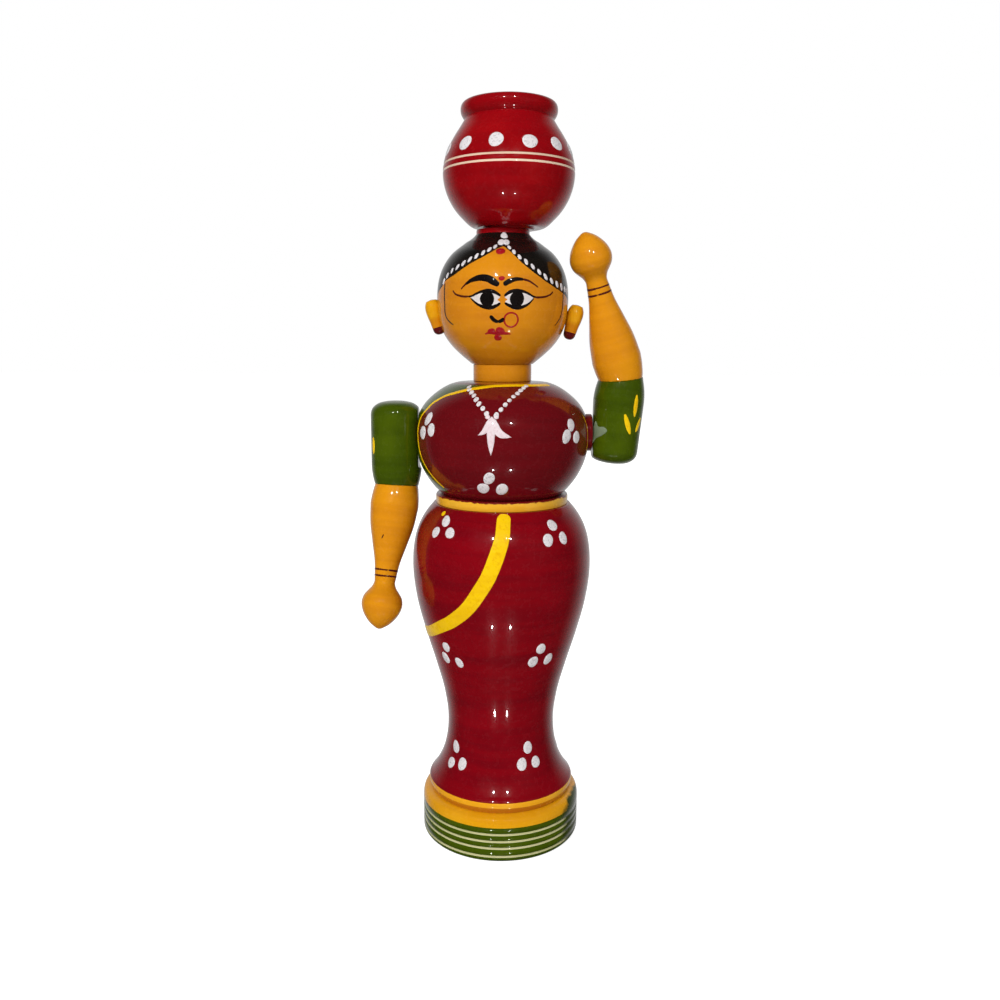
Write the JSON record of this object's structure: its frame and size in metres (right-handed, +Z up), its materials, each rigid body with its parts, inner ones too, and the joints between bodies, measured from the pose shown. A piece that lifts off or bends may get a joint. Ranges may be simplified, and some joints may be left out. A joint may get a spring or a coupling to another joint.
{
  "type": "turned wooden doll",
  "caption": "Turned and lacquered wooden doll of a woman carrying a water pot on her head, with arms that turn on shoulder pegs and a round plinth to stand on.",
  "frame": {"origin": "centre of the plinth's underside, on the doll's turning axis", "axes": "+Z up along the turning axis, -Y the way the doll faces, +X to the doll's own left, where the arm is raised"},
  "size_m": [0.1136, 0.073, 0.2963],
  "materials": {
    "crimson_lacquer": "translucent crimson lac turned on, high gloss",
    "maroon_lacquer": "translucent maroon lac turned on, high gloss",
    "red_lacquer": "red lac turned on, high gloss",
    "green_lacquer": "leaf green lac turned on, high gloss",
    "skin_lacquer": "yellow-orange lac turned on, high gloss",
    "yellow_lacquer": "yellow lac turned on, high gloss",
    "bare_wood": "bare sawn and turned pale hardwood"
  },
  "bodies": {
    "body": {"base_plinth": "green_lacquer", "skirt": "crimson_lacquer", "waist_collar": "yellow_lacquer", "torso": "maroon_lacquer", "neck": "skin_lacquer", "head": "skin_lacquer", "pot": "red_lacquer", "left_ear": "skin_lacquer", "right_ear": "skin_lacquer", "left_ear_pin": "bare_wood", "right_ear_pin": "bare_wood", "left_shoulder_boss": "maroon_lacquer", "right_shoulder_boss": "maroon_lacquer", "left_shoulder_peg": "bare_wood", "right_shoulder_peg": "bare_wood", "base_dowel": "bare_wood", "waist_dowel": "bare_wood", "neck_dowel": "bare_wood", "pot_dowel": "bare_wood"},
    "left_arm": {"left_sleeve": "green_lacquer", "left_forearm": "skin_lacquer", "left_elbow_dowel": "bare_wood"},
    "right_arm": {"right_sleeve": "green_lacquer", "right_forearm": "skin_lacquer", "right_elbow_dowel": "bare_wood"}
  },
  "joints": [
    {"name": "left_shoulder", "type": "hinge", "parent": "body", "child": "left_arm", "pos_m": [0.04555, 0, 0.1701], "axis": [1, 0, 0], "range_deg": [-150, 140]},
    {"name": "right_shoulder", "type": "hinge", "parent": "body", "child": "right_arm", "pos_m": [-0.04285, 0, 0.1701], "axis": [1, 0, 0], "continuous": true}
  ]
}
